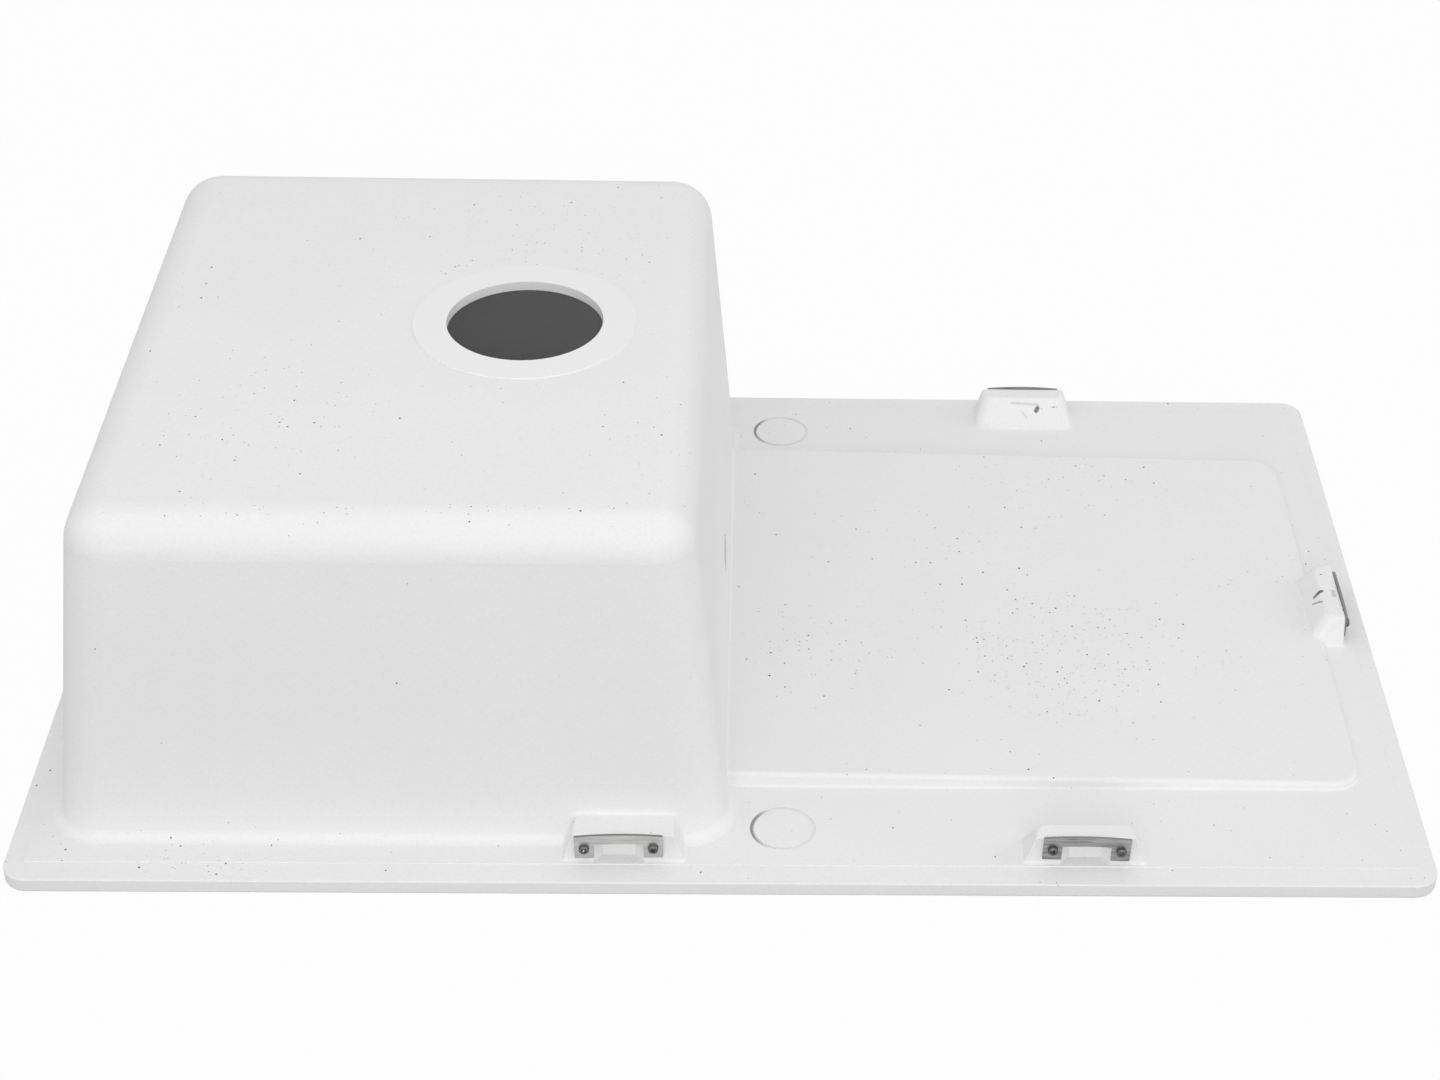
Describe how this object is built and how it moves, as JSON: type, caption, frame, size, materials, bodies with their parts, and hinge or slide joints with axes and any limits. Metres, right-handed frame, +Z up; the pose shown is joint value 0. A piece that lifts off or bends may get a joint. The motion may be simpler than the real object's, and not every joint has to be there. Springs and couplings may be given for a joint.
{
  "type": "kitchen sink",
  "caption": "White composite kitchen sink with one deep bowl and a drainer, lying underside up, with a waste hole, tap knock-outs and clip plates on bosses round the rim.",
  "frame": {"origin": "centre of the rim's rectangle on the plane that its visible face lies on", "axes": "+X from the bowl towards the drainer, along the sink's length; +Y from the front edge of the picture to the far one; +Z up, the way the bowl points as the sink lies on its face. In use it is turned over, with -Z up."},
  "size_m": [0.78, 0.5, 0.208],
  "materials": {
    "composite": "white quartz composite, moulded, with a fine matt skin and scattered pinholes",
    "zinc_plate": "zinc-plated sheet steel, faintly brushed",
    "screw_steel": "dark plated steel screw",
    "insert_brass": "turned brass"
  },
  "bodies": {
    "root": {"sink_body": "composite", "clip_plate_front_left": "zinc_plate", "clip_plate_front_right": "zinc_plate", "clip_plate_right": "zinc_plate", "clip_plate_back_right": "zinc_plate", "clip_plate_back_left": "zinc_plate", "clip_plate_left": "zinc_plate", "screw_front_left_a": "screw_steel", "screw_front_left_b": "screw_steel", "screw_front_right_a": "screw_steel", "screw_front_right_b": "screw_steel", "screw_right_a": "screw_steel", "screw_right_b": "screw_steel", "screw_back_right_a": "screw_steel", "screw_back_right_b": "screw_steel", "screw_back_left_a": "screw_steel", "screw_back_left_b": "screw_steel", "screw_left_a": "screw_steel", "screw_left_b": "screw_steel", "insert_front_left_a": "insert_brass", "insert_front_left_b": "insert_brass", "insert_front_right_a": "insert_brass", "insert_front_right_b": "insert_brass", "insert_right_a": "insert_brass", "insert_right_b": "insert_brass", "insert_back_right_a": "insert_brass", "insert_back_right_b": "insert_brass", "insert_back_left_a": "insert_brass", "insert_back_left_b": "insert_brass", "insert_left_a": "insert_brass", "insert_left_b": "insert_brass"}
  },
  "joints": []
}
